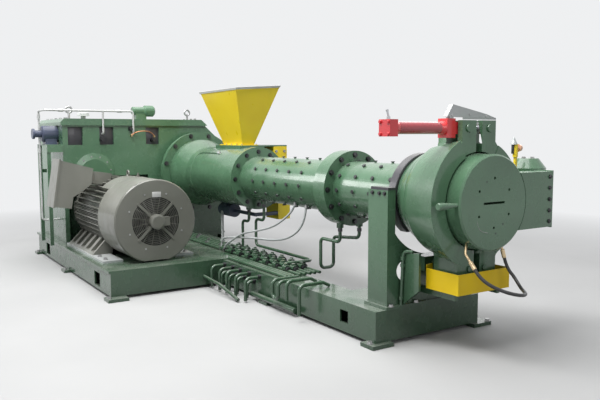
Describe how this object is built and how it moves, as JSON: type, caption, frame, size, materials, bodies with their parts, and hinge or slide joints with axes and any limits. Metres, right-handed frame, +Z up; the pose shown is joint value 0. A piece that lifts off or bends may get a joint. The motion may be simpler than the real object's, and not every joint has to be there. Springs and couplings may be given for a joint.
{
  "type": "cold feed rubber extruder",
  "caption": "Screw extruder for rubber strip: gearbox and air-cooled motor on a steel base, feed hopper, pinned barrels, and an extrusion head closed by a hydraulic clamp.",
  "frame": {"origin": "centre of the footprint box on the floor", "axes": "+X along the screw from the gearbox to the die face, +Y away from the motor, +Z up"},
  "size_m": [6.6135, 2.86, 2.13],
  "materials": {
    "machine_green": "gloss enamel",
    "motor_grey": "semi gloss enamel",
    "safety_yellow": "gloss enamel",
    "cylinder_red": "gloss enamel",
    "pump_blue": "semi gloss enamel",
    "pipe_white": "gloss enamel",
    "guard_grey": "semi gloss enamel",
    "dark_steel": "as turned, oiled",
    "bright_steel": "machined",
    "hose_rubber": "smooth cover",
    "fitting_brass": "plated"
  },
  "bodies": {
    "frame": {"barrel_frame": "machine_green", "barrel_frame_deck": "machine_green", "barrel_stand": "machine_green", "bearing_covers": "machine_green", "breather": "pipe_white", "clamp_pivots": "machine_green", "coupling_guard": "machine_green", "drip_tray": "safety_yellow", "drive_base": "machine_green", "drive_deck": "machine_green", "drop_pipes": "machine_green", "end_ring": "dark_steel", "fan_motor": "motor_grey", "feed_hopper": "safety_yellow", "feed_housing": "machine_green", "feed_roll_housing": "safety_yellow", "floor_pads": "machine_green", "front_barrel": "machine_green", "gearbox_case": "machine_green", "gearbox_lid": "machine_green", "head_body": "machine_green", "head_handle": "machine_green", "head_hose": "hose_rubber", "hinge_arm": "machine_green", "hinge_brackets": "machine_green", "hinge_post": "machine_green", "hose_fittings": "fitting_brass", "lifting_eyes": "bright_steel", "limit_switch": "safety_yellow", "motor_body": "motor_grey", "motor_cowl": "motor_grey", "motor_feet": "motor_grey", "motor_rails": "bright_steel", "oil_filter": "machine_green", "oil_pipes": "pipe_white", "oil_pump": "pump_blue", "output_flange": "machine_green", "pipe_mains": "machine_green", "pipe_ports": "machine_green", "pump_stand": "machine_green", "rear_barrel": "machine_green", "roll_drive": "pump_blue", "roll_guard": "safety_yellow", "stand_brackets": "dark_steel", "tempering_pipes": "machine_green", "terminal_box": "motor_grey", "terminal_lid": "motor_grey", "tray_rails": "machine_green"},
    "near_half": {"clamp_half_near": "machine_green"},
    "far_half": {"clamp_half_far": "machine_green"},
    "cylinder": {"clamp_cylinder": "cylinder_red", "clamp_guard": "guard_grey"},
    "rod": {"clamp_rod": "bright_steel"},
    "fan": {"cooling_fan": "dark_steel"}
  },
  "joints": [
    {"name": "near_half_swing", "type": "hinge", "parent": "frame", "child": "near_half", "pos_m": [2.904, 0.46, 0.62], "axis": [1, 0, 0], "range_deg": [0, 8]},
    {"name": "far_half_swing", "type": "hinge", "parent": "frame", "child": "far_half", "pos_m": [2.904, 0.61, 0.62], "axis": [1, 0, 0], "range_deg": [-8, 0]},
    {"name": "cylinder_swivel", "type": "hinge", "parent": "near_half", "child": "cylinder", "pos_m": [2.9215, 0.43, 1.617], "axis": [1, 0, 0], "range_deg": [-8, 0]},
    {"name": "rod_swivel", "type": "hinge", "parent": "far_half", "child": "rod", "pos_m": [2.9215, 0.64, 1.617], "axis": [1, 0, 0], "range_deg": [0, 8]},
    {"name": "fan_spin", "type": "hinge", "parent": "frame", "child": "fan", "pos_m": [-0.446, -0.645, 0.7], "axis": [1, 0, 0], "continuous": true}
  ],
  "couplings": [
    {"joint": "far_half_swing", "follows": "near_half_swing", "ratio": -1},
    {"joint": "cylinder_swivel", "follows": "near_half_swing", "ratio": -1},
    {"joint": "rod_swivel", "follows": "near_half_swing", "ratio": 1}
  ]
}
